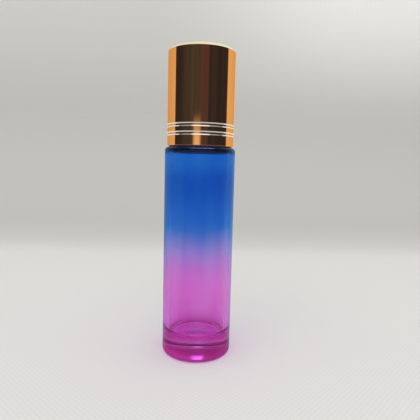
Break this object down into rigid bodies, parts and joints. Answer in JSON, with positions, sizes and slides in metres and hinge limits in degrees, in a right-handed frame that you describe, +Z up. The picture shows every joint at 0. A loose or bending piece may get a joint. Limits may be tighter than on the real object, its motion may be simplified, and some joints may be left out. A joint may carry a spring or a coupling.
{
  "type": "roll on bottle",
  "caption": "Slim glass bottle with a rolling ball applicator in its neck and a polished metal screw cap with cut grooves.",
  "frame": {"origin": "centre of the bottle's foot, in the plane that it stands on", "axes": "+Z up along the bottle's axis, through the neck and the cap; X and Y are across it"},
  "size_m": [0.02, 0.02, 0.0865],
  "materials": {
    "lacquered_glass": "clear glass under a see-through lacquer that fades from blue at the shoulder to magenta at the base",
    "housing_plastic": "natural moulded polyethylene",
    "polished_steel": "mirror polished",
    "gold_aluminium": "polished and anodised gold, with bare silver on the cut slopes of the grooves and a paler gold on the cut top edge",
    "liner_plastic": "moulded white polypropylene",
    "soft_seal": "soft matt wad"
  },
  "bodies": {
    "bottle": {"glass_bottle": "lacquered_glass", "roller_housing": "housing_plastic"},
    "ball": {"roller_ball": "polished_steel"},
    "seal": {"cap_seal": "soft_seal"},
    "cap": {"cap_shell": "gold_aluminium", "cap_liner": "liner_plastic"}
  },
  "joints": [
    {"name": "ball_roll", "type": "hinge", "parent": "bottle", "child": "ball", "pos_m": [0, 0, 0.075], "axis": [1, 0, 0], "continuous": true},
    {"name": "cap_lift", "type": "slide", "parent": "bottle", "child": "seal", "axis": [0, 0, 1], "range_m": [0, 0.024]},
    {"name": "cap_turn", "type": "hinge", "parent": "seal", "child": "cap", "pos_m": [0, 0, 0.07], "axis": [0, 0, 1], "range_deg": [0, 2880]}
  ],
  "couplings": [
    {"joint": "cap_turn", "follows": "cap_lift", "rad_per_m": 2094.4}
  ]
}
